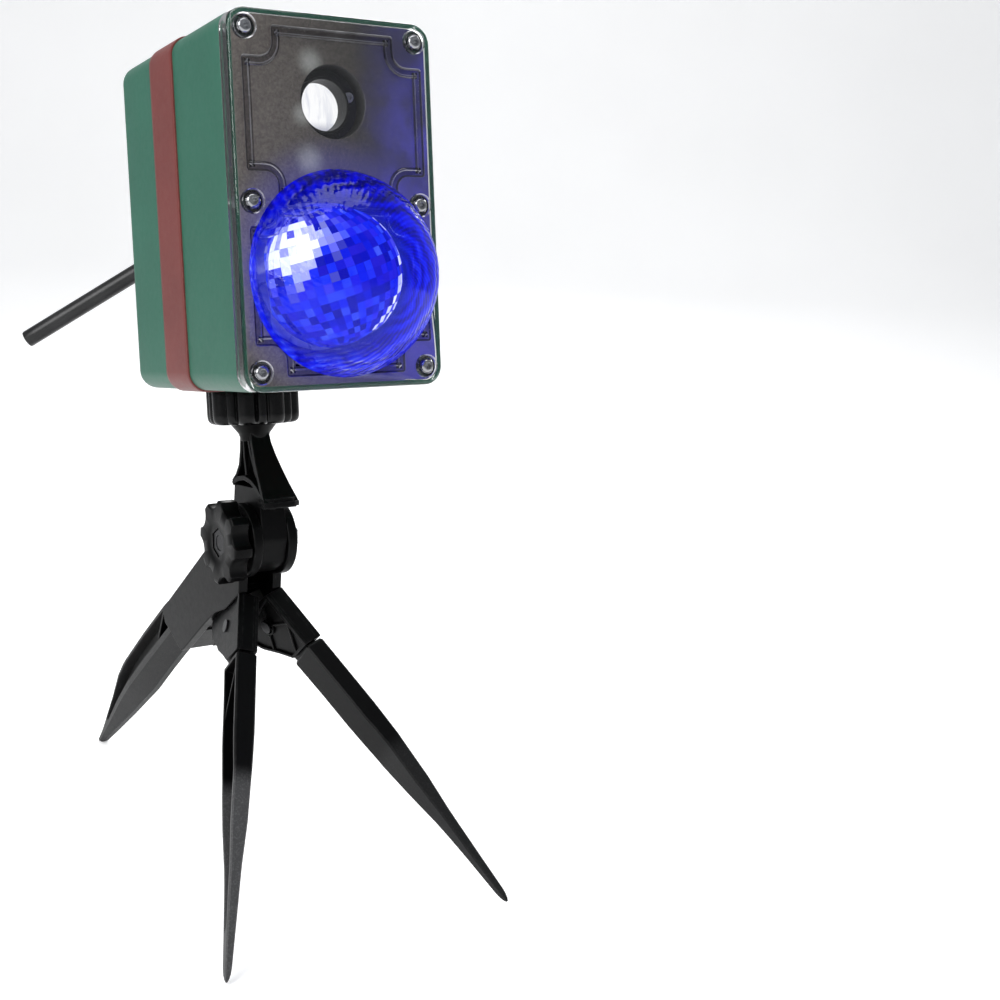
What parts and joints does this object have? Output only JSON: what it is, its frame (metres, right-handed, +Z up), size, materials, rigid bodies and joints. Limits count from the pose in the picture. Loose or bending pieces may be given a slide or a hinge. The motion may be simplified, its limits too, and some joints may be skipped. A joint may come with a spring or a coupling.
{
  "type": "light projector stake",
  "caption": "Outdoor light projector shaped as a ribboned gift box, with a swirl dome and a picture lens, on a tilting swivel neck over a folding three-legged ground stake.",
  "frame": {"origin": "on the ground at the centre of the object's footprint box", "axes": "+Z up, the projector looks towards -Y, the main spike points to +Y; +X is the right hand of someone facing the dome"},
  "size_m": [0.1236, 0.2918, 0.3333],
  "materials": {
    "shell_green": "satin moulded plastic",
    "ribbon_red": "satin painted relief",
    "cover_clear": "clear moulded plastic",
    "rubber_black": "matte",
    "screw_steel": "zinc plated",
    "panel_dark": "fine moulded texture",
    "dome_blue": "blue lit, faceted inside",
    "rotor_clear": "clear moulded plastic",
    "motor_can": "plated can",
    "inner_plastic": "moulded",
    "board_white": "solder mask",
    "lens_glass": "polished",
    "slide_film": "film",
    "heat_sink_alu": "extruded",
    "board_green": "solder mask",
    "gland_green": "satin moulded plastic",
    "cord_black": "vinyl jacket",
    "stake_black": "satin moulded plastic"
  },
  "bodies": {
    "stake": {"main_stake": "stake_black", "leg_pins": "screw_steel", "tilt_bolt": "screw_steel", "bolt_washer": "screw_steel"},
    "left_leg": {"left_leg": "stake_black"},
    "right_leg": {"right_leg": "stake_black"},
    "knob": {"tilt_knob": "stake_black", "knob_nut": "screw_steel"},
    "neck": {"neck": "stake_black"},
    "collar": {"locking_collar": "stake_black"},
    "head": {"housing_shell": "shell_green", "ribbon_wrap": "ribbon_red", "ribbon_bow": "ribbon_red", "front_cover": "cover_clear", "cover_gasket": "rubber_black", "cover_screws": "screw_steel", "inner_panel": "panel_dark", "dome_lens": "dome_blue", "rotor_motor": "motor_can", "motor_bracket": "inner_plastic", "wave_led_board": "board_white", "lens_barrel": "inner_plastic", "projection_lens": "lens_glass", "barrel_screws": "screw_steel", "image_slide": "slide_film", "condenser_lens": "lens_glass", "picture_led_board": "board_white", "heat_sink": "heat_sink_alu", "driver_board": "board_green", "board_screws": "screw_steel", "cord_gland": "gland_green", "gland_locknut": "inner_plastic", "cord_seal": "rubber_black", "power_cord": "cord_black"},
    "rotor": {"wave_rotor": "rotor_clear"}
  },
  "joints": [
    {"name": "neck_tilt", "type": "hinge", "parent": "stake", "child": "neck", "pos_m": [0, -0.044, 0.1373], "axis": [1, 0, 0], "range_deg": [-38, 50]},
    {"name": "knob_turn", "type": "hinge", "parent": "stake", "child": "knob", "pos_m": [0, -0.044, 0.1373], "axis": [-1, 0, 0], "continuous": true},
    {"name": "left_leg_fold", "type": "hinge", "parent": "stake", "child": "left_leg", "pos_m": [-0.00857, -0.0388, 0.10019], "axis": [0.9367, -0.2063, -0.2829], "range_deg": [0, 95]},
    {"name": "right_leg_fold", "type": "hinge", "parent": "stake", "child": "right_leg", "pos_m": [0.00857, -0.0388, 0.10019], "axis": [0.9367, 0.2063, 0.2829], "range_deg": [0, 95]},
    {"name": "collar_turn", "type": "hinge", "parent": "neck", "child": "collar", "pos_m": [0, -0.044, 0.1373], "axis": [0, 0.0785, 0.9969], "continuous": true},
    {"name": "head_swivel", "type": "hinge", "parent": "neck", "child": "head", "pos_m": [0, -0.044, 0.1373], "axis": [0, 0.0785, 0.9969], "continuous": true},
    {"name": "rotor_spin", "type": "hinge", "parent": "head", "child": "rotor", "pos_m": [0, -0.11483, 0.24419], "axis": [0, 0.9969, -0.0785], "continuous": true}
  ]
}
